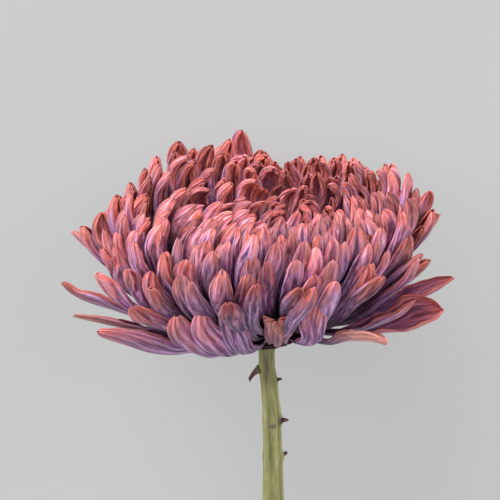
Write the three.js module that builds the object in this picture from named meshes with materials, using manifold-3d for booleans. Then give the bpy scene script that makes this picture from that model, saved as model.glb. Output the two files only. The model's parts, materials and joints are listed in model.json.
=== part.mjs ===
// One cut chrysanthemum: a single incurved bloom on its stripped stem, lying on a flat surface.
// Millimetres, +Z up. The flower is drawn upright in its own frame, with the top of the stem at the
// origin and the bloom above it, and is then laid down as one group, its face towards -Y.
//
// Every floret follows one family of curves from the receptacle to the surface of the bloom. A place
// in the bloom is a point (u, v) of a unit disc and a way s along the curve: the disc's centre is the
// middle of the bloom, its rim is the lowest full ring, and the skirt lies a little outside it. The
// curves never cross, so florets that are apart on the disc stay apart all the way.

import * as THREE from 'three';
import { mergeVertices } from 'three/addons/utils/BufferGeometryUtils.js';
import Module from 'manifold-3d';

// ---- how the flower lies ----
const layTilt = 16;            // degrees that the face looks up from the horizontal
const stemTopPlace = [-2.8, -38.82, 46.4];  // where the top of the stem lies
const pressHeight = 7;         // below this height florets give way to the surface
const pressFloor = 2.04;       // so much of the pressed layer is taken off, so the lowest rest at 0

// ---- the spiral of florets ----
const goldenAngle = 137.50776;
const floretCount = 315;       // ray florets on the disc
const rowCount = 21;           // spiral rows, a Fibonacci number, so that each row's florets are neighbours
const floretHalfWidth = 0.040; // on the disc, about 2.4 mm at the surface of the bloom
const keelDepth = 0.036;
const channelDepth = 0.012;
const footSize = 0.62;         // a floret's foot beside its widest section
const footStart = 0.035;       // way along the curve where a foot stands clear of the receptacle
const innerRho = 0.55;         // florets nearer the middle than this need fewer sections
const outerSections = [[0.36, 0.8], [0.68, 1], [0.93, 0.85]];  // way along, and size beside the widest
const innerSections = [[0.45, 0.85], [0.92, 0.9]];
const channelRise = 0.3;       // how far the channel's floor stands from the chord, beside channelDepth
const centreSteps = [1, 3, 5, 8];  // index steps between neighbours near the middle

// ---- receptacle and the curves that leave it ----
const receptacle = { radius: 9.5, height: 5.5, low: 6.5, spread: 78, gap: 0.4 };
const floretCurves = [
  // rho on the disc, tip radius and height, angles from the axis at the foot and the tip, and the
  // share of the length that each end's direction holds for
  { rho: 0.00, tipR: 0.0, tipZ: 47.0, leave: 0, arrive: 0, pull: 0.38, push: 0.30 },
  { rho: 0.20, tipR: 8.6, tipZ: 48.0, leave: 14, arrive: -16, pull: 0.38, push: 0.32 },
  { rho: 0.40, tipR: 20.0, tipZ: 51.0, leave: 32, arrive: -26, pull: 0.40, push: 0.36 },
  { rho: 0.60, tipR: 33.5, tipZ: 54.0, leave: 52, arrive: -22, pull: 0.42, push: 0.40 },
  { rho: 0.75, tipR: 43.5, tipZ: 53.5, leave: 65, arrive: -6, pull: 0.42, push: 0.40 },
  { rho: 0.88, tipR: 51.5, tipZ: 48.5, leave: 76, arrive: 16, pull: 0.42, push: 0.38 },
  { rho: 1.00, tipR: 57.5, tipZ: 38.5, leave: 86, arrive: 42, pull: 0.42, push: 0.36 },
  { rho: 1.12, tipR: 60.5, tipZ: 25.5, leave: 97, arrive: 64, pull: 0.40, push: 0.34 },
  { rho: 1.24, tipR: 61.0, tipZ: 13.5, leave: 107, arrive: 84, pull: 0.38, push: 0.32 },
  { rho: 1.36, tipR: 57.0, tipZ: 3.0, leave: 117, arrive: 104, pull: 0.36, push: 0.30 },
];

// ---- how this bloom departs from a round one ----
const frontFlatness = 0.1;     // it reaches this share less far in front than at the sides
const bloomHeight = 47;        // the changes below grow with the height, which is 1 here
const eyeShift = { right: 8.5, reach: 26 };  // the middle of the face stands to the right of the stem
const bellyShift = { left: 3.5, height: 24, reach: 16, fullRadius: 50 };  // and the lower half to the left
const frontLift = { rise: 3, azimuth: 300, fullRadius: 20 };  // the hem is higher in front
const swells = [
  // where the face stands proud or sinks
  { x: -22, y: 32, reach: 22, rise: 4.5 },
  { x: 8, y: 40, reach: 13, rise: -4 },
  { x: 46, y: 12, reach: 15, rise: 6 },
];

// ---- the skirt: outermost florets, each with a pose of its own ----
// phi is the azimuth (0 right, 90 back, 180 left, 270 front of the upright bloom), reach the way
// along the curve where the tip ends, and broad its width beside a plain floret
const skirtFlorets = [
  { phi: 2, rho: 1.14, reach: 1.08, broad: 0.95 },
  { phi: 17, rho: 1.08, reach: 1.02, broad: 1.00 },
  { phi: 31, rho: 1.13, reach: 0.97, broad: 1.10 },
  { phi: 44, rho: 1.08, reach: 0.99, broad: 1.00 },
  { phi: 57, rho: 1.15, reach: 0.95, broad: 1.15 },
  { phi: 71, rho: 1.19, reach: 0.99, broad: 1.10 },
  { phi: 90, rho: 1.09, reach: 0.99, broad: 1.10 },
  { phi: 109, rho: 1.19, reach: 0.99, broad: 1.10 },
  { phi: 124, rho: 1.14, reach: 0.95, broad: 1.10 },
  { phi: 139, rho: 1.09, reach: 0.99, broad: 1.00 },
  { phi: 154, rho: 1.13, reach: 0.98, broad: 1.05 },
  { phi: 169, rho: 1.06, reach: 1.05, broad: 0.95 },
  { phi: 184, rho: 1.17, reach: 1.05, broad: 1.15 },
  { phi: 196, rho: 1.19, reach: 1.04, broad: 0.85 },
  { phi: 209, rho: 1.20, reach: 0.98, broad: 1.40 },
  { phi: 223, rho: 1.11, reach: 0.94, broad: 1.10 },
  { phi: 237, rho: 1.14, reach: 0.92, broad: 1.45 },
  { phi: 252, rho: 1.10, reach: 0.84, broad: 1.25 },
  { phi: 267, rho: 1.07, reach: 0.72, broad: 1.10 },
  { phi: 281, rho: 1.07, reach: 0.64, broad: 1.10 },
  { phi: 296, rho: 1.08, reach: 0.84, broad: 1.20 },
  { phi: 313, rho: 1.17, reach: 0.88, broad: 1.20 },
  { phi: 329, rho: 1.12, reach: 0.96, broad: 1.00 },
  { phi: 344, rho: 1.18, reach: 1.04, broad: 1.45 },
];

// ---- stem, bracts and stubs ----
const stemSides = 14;
const stemRings = [
  // height, sideways drift and radius, from the cut end up to the neck under the receptacle
  { z: -150, x: 4.6, y: 1.6, radius: 3.75 },
  { z: -127, x: 4.4, y: 0.9, radius: 3.70 },
  { z: -124, x: 4.3, y: 0.8, radius: 3.95 },
  { z: -121, x: 4.2, y: 0.6, radius: 3.70 },
  { z: -97, x: 3.4, y: -0.4, radius: 3.70 },
  { z: -94, x: 3.3, y: -0.5, radius: 3.95 },
  { z: -91, x: 3.2, y: -0.6, radius: 3.68 },
  { z: -69, x: 2.7, y: -0.4, radius: 3.66 },
  { z: -66, x: 2.6, y: -0.3, radius: 3.90 },
  { z: -63, x: 2.6, y: -0.2, radius: 3.62 },
  { z: -47, x: 2.4, y: 0.0, radius: 3.25 },
  { z: -43, x: 2.3, y: 0.0, radius: 3.40 },
  { z: -39, x: 2.2, y: 0.0, radius: 3.10 },
  { z: -32, x: 2.1, y: 0.0, radius: 3.05 },
  { z: -29, x: 2.0, y: 0.0, radius: 3.25 },
  { z: -25, x: 1.9, y: 0.0, radius: 3.00 },
  { z: -18, x: 1.3, y: 0.0, radius: 2.85 },
  { z: -12, x: 0.6, y: 0.0, radius: 2.70 },
  { z: -8, x: 0.3, y: 0.0, radius: 2.60 },
  { z: -3, x: 0.1, y: 0.0, radius: 2.70 },
];
const neck = { z: 0.4, radius: 3.9 };
const stemGap = 0.35;
const stubs = [
  // where each stub leaves the stem, which way it points, and its size
  { name: 'leaf_stub_upper', z: -9.5, side: 186, rise: -25, length: 4.6, radius: 1.2 },
  { name: 'bud_scar_upper', z: -13.5, side: 350, rise: 20, length: 1.6, radius: 0.9 },
  { name: 'leaf_stub_second', z: -28.5, side: 335, rise: 25, length: 2.4, radius: 1.3 },
  { name: 'leaf_stub_third', z: -43.0, side: 12, rise: 30, length: 1.7, radius: 1.2 },
  { name: 'leaf_stub_fourth', z: -65.5, side: 208, rise: 35, length: 2.4, radius: 1.4 },
  { name: 'leaf_stub_fifth', z: -93.5, side: 350, rise: 35, length: 2.6, radius: 1.4 },
  { name: 'leaf_stub_sixth', z: -123.5, side: 196, rise: 35, length: 2.2, radius: 1.4 },
];
const bractCount = 13;
const bractRings = [
  { name: 'bract_ring_inner', turn: 0, halfWidth: 1.7, thick: 0.6,
    line: [[7.9, 2.9], [9.3, 2.7], [10.6, 2.8], [11.8, 3.2]] },
  { name: 'bract_ring_outer', turn: 180 / bractCount, halfWidth: 1.4, thick: 0.7,
    line: [[5.6, 1.1], [6.9, 1.0], [8.1, 1.1], [9.2, 1.5]] },
];

// ---- colours ----
const floretColours = { middle: 0x9c4a55, inner: 0xb8606a, outer: 0x8e5a86, skirt: 0x8a5388 };
const stemColour = 0x85885a;
const bractColour = 0x6f7a4b;
const stubColour = 0x5a4a3a;

const radians = THREE.MathUtils.degToRad;
const wasm = await Module();
wasm.setup();

// The surface's upward direction, seen from the flower's own frame.
const upward = new THREE.Vector3(0, -Math.cos(radians(layTilt)), Math.sin(radians(layTilt)));

// A smooth curve through the values that `key` has along the floret curves.
function alongCurves(key, rho) {
  const last = floretCurves.length - 2;
  let i = 0;
  while (i < last && floretCurves[i + 1].rho <= rho) i += 1;
  const slope = (k) => {
    const a = floretCurves[Math.max(k - 1, 0)];
    const b = floretCurves[Math.min(k + 1, last + 1)];
    return (b[key] - a[key]) / (b.rho - a.rho);
  };
  const from = floretCurves[i];
  const to = floretCurves[i + 1];
  const span = to.rho - from.rho;
  const t = (rho - from.rho) / span;
  const t2 = t * t;
  const t3 = t2 * t;
  return (2 * t3 - 3 * t2 + 1) * from[key] + (t3 - 2 * t2 + t) * span * slope(i)
    + (3 * t2 - 2 * t3) * to[key] + (t3 - t2) * span * slope(i + 1);
}

// Radius and height of the foot of the curve that leaves the receptacle at rho.
function footOfCurve(rho) {
  const angle = radians(rho * receptacle.spread);
  const radius = receptacle.radius * Math.sin(angle) / Math.sin(radians(receptacle.spread));
  return new THREE.Vector2(radius, receptacle.low + receptacle.height * Math.cos(angle));
}

// Radius and height on the curve of rho, s of the way from foot to tip.
function alongFloret(rho, s) {
  const foot = footOfCurve(rho);
  const tip = new THREE.Vector2(alongCurves('tipR', rho), alongCurves('tipZ', rho));
  const length = foot.distanceTo(tip);
  const leave = radians(alongCurves('leave', rho));
  const arrive = radians(alongCurves('arrive', rho));
  const pull = length * alongCurves('pull', rho);
  const push = length * alongCurves('push', rho);
  const start = new THREE.Vector2(Math.sin(leave), Math.cos(leave)).multiplyScalar(pull).add(foot);
  const end = new THREE.Vector2(Math.sin(arrive), Math.cos(arrive)).multiplyScalar(-push).add(tip);
  const r = 1 - s;
  return foot.multiplyScalar(r * r * r)
    .addScaledVector(start, 3 * r * r * s)
    .addScaledVector(end, 3 * r * s * s)
    .addScaledVector(tip, s * s * s);
}

// A point that would reach below the surface gives way to it, and keeps its order with the others.
function pressed(point) {
  const height = point.dot(upward) + stemTopPlace[2];
  if (height >= pressHeight) return point;
  const yielded = pressHeight * Math.exp((height - pressHeight) / pressHeight);
  const share = (pressHeight - yielded) / pressHeight;
  return point.addScaledVector(upward, yielded - share * pressFloor - height);
}

// A point of a round bloom, moved to where it stands in this one.
function grown(radius, phi, z) {
  const height = Math.min(Math.max(z / bloomHeight, 0), 1.2);
  const flatness = frontFlatness * Math.max(0, -Math.sin(phi)) ** 2;
  let x = radius * (1 - flatness) * Math.cos(phi);
  const y = radius * (1 - flatness) * Math.sin(phi);
  x += eyeShift.right * Math.exp(-((radius / eyeShift.reach) ** 2)) * height ** 1.5;
  const belly = Math.exp(-(((z - bellyShift.height) / bellyShift.reach) ** 2));
  x -= bellyShift.left * belly * Math.min(radius / bellyShift.fullRadius, 1) ** 2;
  let rise = 0;
  for (const swell of swells) {
    const away = Math.hypot(x - swell.x, y - swell.y) / swell.reach;
    rise += swell.rise * Math.exp(-away * away) * height ** 2;
  }
  const facing = Math.max(0, Math.cos(phi - radians(frontLift.azimuth)));
  rise += frontLift.rise * facing ** 2 * Math.min(radius / frontLift.fullRadius, 1) ** 2;
  return new THREE.Vector3(x, y, z + rise);
}

// The point of the bloom over (u, v) of the disc, s of the way along.
function bloomPoint(u, v, s) {
  const place = alongFloret(Math.hypot(u, v), s);
  return pressed(grown(place.x, Math.atan2(v, u), place.y));
}

// A closed mesh through rings of equal length, with an optional point beyond the last ring.
function loft(rings, tip) {
  const sides = rings[0].length;
  const points = rings.flat();
  const faces = [];
  for (let i = 1; i < sides - 1; i += 1) faces.push([0, i + 1, i]);
  for (let k = 0; k < rings.length - 1; k += 1) {
    for (let i = 0; i < sides; i += 1) {
      const a = k * sides + i;
      const b = k * sides + (i + 1) % sides;
      faces.push([a, b, b + sides], [a, b + sides, a + sides]);
    }
  }
  const top = (rings.length - 1) * sides;
  if (tip) {
    points.push(tip);
    for (let i = 0; i < sides; i += 1) faces.push([top + i, top + (i + 1) % sides, points.length - 1]);
  } else {
    for (let i = 1; i < sides - 1; i += 1) faces.push([top, top + i, top + i + 1]);
  }
  const geometry = new THREE.BufferGeometry();
  const coordinates = points.flatMap((p) => p.toArray());
  geometry.setAttribute('position', new THREE.Float32BufferAttribute(coordinates, 3));
  geometry.setIndex(faces.flat());
  return geometry;
}

function toSolid(geometry) {
  const bare = geometry.clone();
  bare.deleteAttribute('normal');
  bare.deleteAttribute('uv');
  const merged = mergeVertices(bare, 1e-4);
  const vertProperties = new Float32Array(merged.attributes.position.array);
  const triVerts = new Uint32Array(merged.index.array);
  return new wasm.Manifold(new wasm.Mesh({ numProp: 3, vertProperties, triVerts }));
}

function joined(geometries) {
  let solid = toSolid(geometries[0]);
  for (const geometry of geometries.slice(1)) solid = solid.add(toSolid(geometry));
  const mesh = solid.getMesh();
  const result = new THREE.BufferGeometry();
  result.setAttribute('position', new THREE.BufferAttribute(new Float32Array(mesh.vertProperties), 3));
  result.setIndex(new THREE.BufferAttribute(new Uint32Array(mesh.triVerts), 1));
  return result;
}

function piece(name, geometry, colour, roughness) {
  geometry.computeVertexNormals();
  const material = new THREE.MeshStandardMaterial({ color: colour, roughness, metalness: 0 });
  const mesh = new THREE.Mesh(geometry, material);
  mesh.name = name;
  return mesh;
}

// Where floret n of the golden-angle spiral stands on the disc.
function spiralPlace(n) {
  const rho = Math.sqrt((n + 0.5) / floretCount);
  const phi = radians(n * goldenAngle);
  return { rho, phi };
}

// One floret: a keeled, channelled blade. `root` is the neighbour whose foot it is joined to.
function floret({ rho, phi, reach = 1, broad = 1, root = null }) {
  const centre = new THREE.Vector2(Math.cos(phi), Math.sin(phi)).multiplyScalar(rho);
  const out = new THREE.Vector2(Math.cos(phi), Math.sin(phi));
  const across = new THREE.Vector2(-out.y, out.x);
  const at = (along, side, s) => {
    const p = centre.clone().addScaledVector(out, along).addScaledVector(across, side);
    return bloomPoint(p.x, p.y, s);
  };
  const section = (s, size) => [
    at(-channelDepth * size, -floretHalfWidth * broad * size, s),
    at(keelDepth * size, 0, s),
    at(-channelDepth * size, floretHalfWidth * broad * size, s),
    at(channelRise * channelDepth * size, 0, s),
  ];
  const foot = section(footStart, footSize);
  if (root) foot[3] = bloomPoint(root.rho * Math.cos(root.phi), root.rho * Math.sin(root.phi), footStart);
  const sections = rho > innerRho ? outerSections : innerSections;
  const rings = sections.map(([s, size]) => section(s * reach, size));
  return loft([foot, ...rings], at(-channelDepth, 0, reach));
}

// The middle of the bloom: each floret is joined at the foot to one nearer the axis.
function centreFlorets() {
  const parts = [];
  for (let n = 0; n < rowCount; n += 1) {
    const step = centreSteps.filter((k) => k <= n).pop();
    parts.push(floret({ ...spiralPlace(n), root: n > 0 ? spiralPlace(n - step) : null }));
  }
  return piece('centre_florets', joined(parts), floretColours.middle, 0.7);
}

// A spiral row: every 21st floret, each joined at the foot to the one before it.
function floretRow(row) {
  const parts = [];
  for (let n = row + rowCount; n < floretCount; n += rowCount) {
    parts.push(floret({ ...spiralPlace(n), root: n < 2 * rowCount ? null : spiralPlace(n - rowCount) }));
  }
  const number = String(row + 1).padStart(2, '0');
  const colour = row % 2 ? floretColours.inner : floretColours.outer;
  return piece(`floret_row_${number}`, joined(parts), colour, 0.7);
}

function skirtFloret(shape, index) {
  const number = String(index + 1).padStart(2, '0');
  const blade = floret({ ...shape, phi: radians(shape.phi) });
  return piece(`skirt_floret_${number}`, blade, floretColours.skirt, 0.65);
}

function roundRing({ x = 0, y = 0, z, radius }) {
  const ring = [];
  for (let i = 0; i < stemSides; i += 1) {
    const angle = 2 * Math.PI * i / stemSides;
    ring.push(new THREE.Vector3(x + radius * Math.cos(angle), y + radius * Math.sin(angle), z));
  }
  return ring;
}

// The stem and the receptacle that it swells into are one grown piece.
function stem() {
  const rings = stemRings.map(roundRing);
  rings.push(roundRing(neck));
  for (let rho = 1.3; rho > 0.1; rho -= 0.2) {
    const foot = footOfCurve(rho);
    rings.push(roundRing({ z: foot.y - receptacle.gap, radius: foot.x - receptacle.gap }));
  }
  const crown = new THREE.Vector3(0, 0, footOfCurve(0).y - receptacle.gap);
  return piece('stem', loft(rings, crown), stemColour, 0.55);
}

function stemAt(z) {
  const upper = stemRings.findIndex((ring) => ring.z >= z);
  const a = stemRings[upper - 1];
  const b = stemRings[upper];
  const t = (z - a.z) / (b.z - a.z);
  const mix = (key) => THREE.MathUtils.lerp(a[key], b[key], t);
  return { x: mix('x'), y: mix('y'), radius: mix('radius') };
}

// What is left of a leaf or bud that was stripped off: a short tapering peg.
function stub({ name, z, side, rise, length, radius }) {
  const at = stemAt(z);
  const out = new THREE.Vector3(Math.cos(radians(side)), Math.sin(radians(side)), 0);
  const way = out.clone().multiplyScalar(Math.cos(radians(rise)));
  way.z = Math.sin(radians(rise));
  const across = new THREE.Vector3(-out.y, out.x, 0);
  const over = new THREE.Vector3().crossVectors(across, way).normalize();
  const slope = Math.abs(Math.sin(radians(rise))) * radius;
  const root = new THREE.Vector3(at.x, at.y, z).addScaledVector(out, at.radius + stemGap + slope);
  const sides = 6;
  const rings = [[0, 1], [0.5, 0.75], [0.85, 0.5]].map(([t, size]) => {
    const ring = [];
    for (let i = 0; i < sides; i += 1) {
      const angle = 2 * Math.PI * i / sides;
      ring.push(root.clone().addScaledVector(way, t * length)
        .addScaledVector(across, -size * radius * Math.cos(angle))
        .addScaledVector(over, size * radius * Math.sin(angle)));
    }
    return ring;
  });
  return piece(name, loft(rings, root.clone().addScaledVector(way, length)), stubColour, 0.8);
}

// Green scales under the bloom: pointed leaves on a narrow collar.
function bractRing({ name, turn, halfWidth, thick, line }) {
  const parts = [];
  for (let i = 0; i < bractCount; i += 1) {
    const phi = radians(turn + 360 * i / bractCount);
    const out = new THREE.Vector3(Math.cos(phi), Math.sin(phi), 0);
    const across = new THREE.Vector3(-out.y, out.x, 0);
    const at = ([r, z], side, lift) => out.clone().multiplyScalar(r).addScaledVector(across, side)
      .add(new THREE.Vector3(0, 0, z + lift));
    const widths = [0.75, 1, 0.7];
    const rings = widths.map((w, k) => [
      at(line[k], -halfWidth * w, thick * 0.3),
      at(line[k], 0, -thick * 0.5),
      at(line[k], halfWidth * w, thick * 0.3),
      at(line[k], 0, thick * 0.5),
    ]);
    parts.push(loft(rings, at(line[3], 0, 0)));
  }
  const [r, z] = line[0];
  const collar = [[r - 0.5, -0.4], [r + 1.1, -0.4], [r + 1.1, 0.4], [r - 0.5, 0.4], [r - 0.5, -0.4]];
  const profile = collar.map(([x, lift]) => new THREE.Vector2(x, z + lift));
  const turned = new THREE.LatheGeometry(profile, 26);
  turned.rotateX(Math.PI / 2);
  parts.push(turned);
  return piece(name, joined(parts), bractColour, 0.7);
}

const flower = new THREE.Group();
flower.add(stem());
flower.add(...bractRings.map(bractRing));
flower.add(...stubs.map(stub));
flower.add(centreFlorets());
for (let row = 0; row < rowCount; row += 1) flower.add(floretRow(row));
flower.add(...skirtFlorets.map(skirtFloret));

// Laid down: the upright flower's right goes to -X, its front up and its top towards -Y.
const layX = new THREE.Vector3(-1, 0, 0);
const layZ = new THREE.Vector3(0, -Math.cos(radians(layTilt)), Math.sin(radians(layTilt)));
const layY = new THREE.Vector3().crossVectors(layZ, layX);
flower.quaternion.setFromRotationMatrix(new THREE.Matrix4().makeBasis(layX, layY, layZ));
flower.position.set(...stemTopPlace);

const part = new THREE.Group();
part.add(flower);

export default part;
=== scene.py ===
import json
import math
import bmesh
import bpy
import numpy as np
from mathutils import Matrix, Vector

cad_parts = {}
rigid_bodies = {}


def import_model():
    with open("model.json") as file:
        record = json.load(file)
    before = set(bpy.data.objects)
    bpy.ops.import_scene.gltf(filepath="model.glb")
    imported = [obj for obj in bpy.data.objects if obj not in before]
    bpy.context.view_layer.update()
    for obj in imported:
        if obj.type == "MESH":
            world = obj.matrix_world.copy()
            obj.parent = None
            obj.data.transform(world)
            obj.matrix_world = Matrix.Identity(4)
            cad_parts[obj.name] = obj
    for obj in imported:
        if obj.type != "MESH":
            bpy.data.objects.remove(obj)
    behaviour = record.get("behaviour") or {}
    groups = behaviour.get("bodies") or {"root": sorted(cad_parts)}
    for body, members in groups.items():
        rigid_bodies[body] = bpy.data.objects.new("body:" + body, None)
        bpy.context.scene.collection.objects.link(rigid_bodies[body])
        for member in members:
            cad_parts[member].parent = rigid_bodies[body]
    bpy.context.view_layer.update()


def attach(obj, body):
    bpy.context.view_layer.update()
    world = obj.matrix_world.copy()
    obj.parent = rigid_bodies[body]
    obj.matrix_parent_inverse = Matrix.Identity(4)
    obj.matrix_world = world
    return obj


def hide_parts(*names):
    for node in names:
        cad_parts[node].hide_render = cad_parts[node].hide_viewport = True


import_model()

scene = bpy.context.scene
mm = 0.001

# How the upright flower is laid down, in mm and degrees. The upright flower has the top of its stem
# at the origin, its bloom above, its front towards -Y.
flowerPlace = {
    "layTilt": 16.0,
    "stemTop": (-2.8, -38.82, 46.4),
    "pressHeight": 7.0,    # florets lower than this give way to the surface
    "pressFloor": 2.04,
    "restGap": 0.05,
}

# How this bloom departs from a round one, in the upright flower's frame.
bloomForm = {
    "frontFlatness": 0.10,
    "bloomHeight": 47.0,
    "eyeRight": 8.5,       # the middle of the face stands to the right of the stem
    "eyeReach": 26.0,
    "bellyLeft": 3.5,      # and the lower half to the left
    "bellyHeight": 24.0,
    "bellyReach": 16.0,
    "bellyRadius": 50.0,
    "frontRise": 3.0,      # the hem is higher in front
    "frontAzimuth": 300.0,
    "frontRadius": 20.0,
    "swells": [
        # where the face stands proud or sinks: x, y, reach and rise
        (-22, 32, 22, 4.5), (8, 40, 13, -4.0), (46, 12, 15, 6.0),
    ],
}

# fixed seeds, so that every run grows the same flower
seeds = {
    "spiralShape": 700,
    "spiralBlade": 100,
    "spiralTree": 11,
    "skirt": 40,
    "skirtBlade": 300,
    "stem": 5,
    "bract": 60,
    "bractTree": 3,
}


def radians(angle):
    return angle * math.pi / 180.0


def layFrame():
    tilt = radians(flowerPlace["layTilt"])
    layX = Vector((-1, 0, 0))
    layZ = Vector((0, -math.cos(tilt), math.sin(tilt)))
    layY = layZ.cross(layX)
    return layX, layY, layZ


def grown(p):
    # a round bloom's points, moved to where they stand in this one
    form = bloomForm
    x, y, z = p.T
    radius, phi = np.hypot(x, y), np.arctan2(y, x)
    height = np.clip(z / form["bloomHeight"], 0, 1.2)
    flat = 1 - form["frontFlatness"] * np.maximum(0, -np.sin(phi)) ** 2
    x = x * flat + form["eyeRight"] * np.exp(-(radius / form["eyeReach"]) ** 2) * height ** 1.5
    belly = np.exp(-((z - form["bellyHeight"]) / form["bellyReach"]) ** 2)
    x = x - form["bellyLeft"] * belly * np.minimum(radius / form["bellyRadius"], 1) ** 2
    y = y * flat
    rise = np.zeros_like(z)
    for atX, atY, reach, most in form["swells"]:
        rise += most * np.exp(-((x - atX) ** 2 + (y - atY) ** 2) / reach ** 2) * height ** 2
    facing = np.maximum(0, np.cos(phi - radians(form["frontAzimuth"])))
    rise += form["frontRise"] * facing ** 2 * np.minimum(radius / form["frontRadius"], 1) ** 2
    return np.stack([x, y, z + rise], -1)


def settle(points, soft=True):
    # upright flower in mm -> lying flower in metres; soft parts give way to the surface
    p = np.array(points, float)
    place = flowerPlace
    if soft:
        p = grown(p)
    layX, layY, layZ = layFrame()
    turned = p @ np.array([layX, layY, layZ]) + np.array(place["stemTop"])
    if soft:
        top, floor = place["pressHeight"], place["pressFloor"]
        z = turned[:, 2]
        yielded = top * np.exp((np.minimum(z, top) - top) / top)
        pressed = yielded - (top - yielded) / top * floor
        turned[:, 2] = np.where(z < top, pressed, z)
    turned[:, 2] = np.maximum(turned[:, 2], place["restGap"])
    return turned * mm


print("1 camera, light and floor")

view = {
    "elevation": 25.0,     # above the upright flower's horizon
    "distance": 750.0,
    "lens": 164.0,
    "aimRight": -5.3,      # how far from the top of the stem it aims, to the right and up
    "aimUp": 30.6,
    "sensor": 36.0,
    "clip": (0.01, 20.0),
}
layX, layY, layZ = layFrame()
lift = radians(view["elevation"])
toCamera = -math.cos(lift) * layY + math.sin(lift) * layZ
viewUp = math.sin(lift) * layY + math.cos(lift) * layZ
viewRight = layX
stemTop = Vector(flowerPlace["stemTop"])
aim = stemTop + viewRight * view["aimRight"] + viewUp * view["aimUp"]
cameraData = bpy.data.cameras.new("viewCamera")
cameraData.lens = view["lens"]
cameraData.sensor_width = view["sensor"]
cameraData.clip_start, cameraData.clip_end = view["clip"]
camera = bpy.data.objects.new("viewCamera", cameraData)
axes = Matrix((viewRight, viewUp, toCamera)).transposed().to_4x4()
camera.matrix_world = Matrix.Translation((aim + toCamera * view["distance"]) * mm) @ axes
scene.collection.objects.link(camera)
scene.camera = camera
scene.view_settings.view_transform = "Standard"
scene.view_settings.look = "None"

studio = {
    # direction to each lamp as right, up and toward the viewer; angle is how soft it is
    "key": {"way": (-0.42, 1.08, 0.60), "angle": 42.0, "power": 3.3, "colour": (1.0, 0.99, 0.975)},
    "fill": {"way": (0.30, 0.10, 1.0), "angle": 60.0, "power": 0.28, "colour": (0.98, 0.985, 1.0)},
    "left": {"way": (-1.0, 0.35, 0.45), "angle": 50.0, "power": 2.1, "colour": (0.97, 0.975, 1.0)},
    "right": {"way": (1.0, 0.55, 0.30), "angle": 50.0, "power": 2.0, "colour": (0.98, 0.98, 1.0)},
}
lampDistance = 1.3
for name, lamp in studio.items():
    across, up, near = lamp["way"]
    way = (viewRight * across + viewUp * up + toCamera * near).normalized()
    lightData = bpy.data.lights.new(name + "Light", "SUN")
    lightData.angle = radians(lamp["angle"])
    lightData.energy = lamp["power"]
    lightData.color = lamp["colour"]
    light = bpy.data.objects.new(name + "Light", lightData)
    light.location = aim * mm + way * lampDistance
    light.rotation_mode = "QUATERNION"
    light.rotation_quaternion = way.to_track_quat("Z", "Y")
    scene.collection.objects.link(light)

room = {"colour": (0.94, 0.95, 0.96, 1), "strength": 0.55}
world = bpy.data.worlds.new("softRoom")
world.use_nodes = True
background = world.node_tree.nodes["Background"]
background.inputs["Color"].default_value = room["colour"]
background.inputs["Strength"].default_value = room["strength"]
scene.world = world


def newMaterial(name):
    material = bpy.data.materials.new(name)
    material.use_nodes = True
    tree = material.node_tree
    tree.nodes.clear()
    output = tree.nodes.new("ShaderNodeOutputMaterial")
    shader = tree.nodes.new("ShaderNodeBsdfPrincipled")
    tree.links.new(shader.outputs[0], output.inputs[0])
    return material, tree, shader


def feed(tree, socket, value):
    # a socket takes another node's output or a plain value
    if isinstance(value, bpy.types.NodeSocket):
        tree.links.new(value, socket)
    elif value is not None:
        socket.default_value = value


def calc(tree, operation, a, b=None, c=None, clamp=False):
    node = tree.nodes.new("ShaderNodeMath")
    node.operation = operation
    node.use_clamp = clamp
    for socket, value in zip(node.inputs, (a, b, c)):
        feed(tree, socket, value)
    return node.outputs[0]


def spread(tree, value, low, high, newLow=0.0, newHigh=1.0):
    node = tree.nodes.new("ShaderNodeMapRange")
    node.interpolation_type = "SMOOTHSTEP"
    for socket, item in zip(node.inputs, (value, low, high, newLow, newHigh)):
        feed(tree, socket, item)
    return node.outputs[0]


def blendColour(tree, factor, first, second, mode="MIX"):
    node = tree.nodes.new("ShaderNodeMix")
    node.data_type = "RGBA"
    node.blend_type = mode
    feed(tree, node.inputs[0], factor)
    feed(tree, node.inputs[6], first)      # 6, 7 and output 2 are the ones for colours
    feed(tree, node.inputs[7], second)
    return node.outputs[2]


def ramp(tree, value, stops):
    node = tree.nodes.new("ShaderNodeValToRGB")
    elements = node.color_ramp.elements
    while len(elements) < len(stops):
        elements.new(0.5)
    for element, (place, colour) in zip(elements, stops):
        element.position = place
        element.color = opaque(colour)
    feed(tree, node.inputs[0], value)
    return node.outputs[0]


def grain(tree, where, scale, detail=3.0, roughness=0.55, distortion=0.0):
    node = tree.nodes.new("ShaderNodeTexNoise")
    feed(tree, node.inputs["Vector"], where)
    node.inputs["Scale"].default_value = scale
    node.inputs["Detail"].default_value = detail
    node.inputs["Roughness"].default_value = roughness
    node.inputs["Distortion"].default_value = distortion
    return node.outputs[0]


def vector(tree, x, y, z):
    node = tree.nodes.new("ShaderNodeCombineXYZ")
    for socket, value in zip(node.inputs, (x, y, z)):
        feed(tree, socket, value)
    return node.outputs[0]


def attribute(tree, name):
    node = tree.nodes.new("ShaderNodeAttribute")
    node.attribute_name = name
    return node.outputs["Fac"]


def opaque(colour):
    return (*colour, 1)


def mapAxes(tree, name):
    uv = tree.nodes.new("ShaderNodeUVMap")
    uv.uv_map = name
    split = tree.nodes.new("ShaderNodeSeparateXYZ")
    tree.links.new(uv.outputs[0], split.inputs[0])
    return split.outputs[0], split.outputs[1]


def relief(tree, shader, height, strength, distance):
    node = tree.nodes.new("ShaderNodeBump")
    node.inputs["Strength"].default_value = strength
    node.inputs["Distance"].default_value = distance
    tree.links.new(height, node.inputs["Height"])
    tree.links.new(node.outputs[0], shader.inputs["Normal"])


floorLook = {
    "size": 6.0,
    "colour": (0.205, 0.206, 0.207),
    "darkerShare": 0.97,
    "glow": 0.345,         # a lit table, for soft shadows
    "drop": 0.0004,
}


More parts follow.
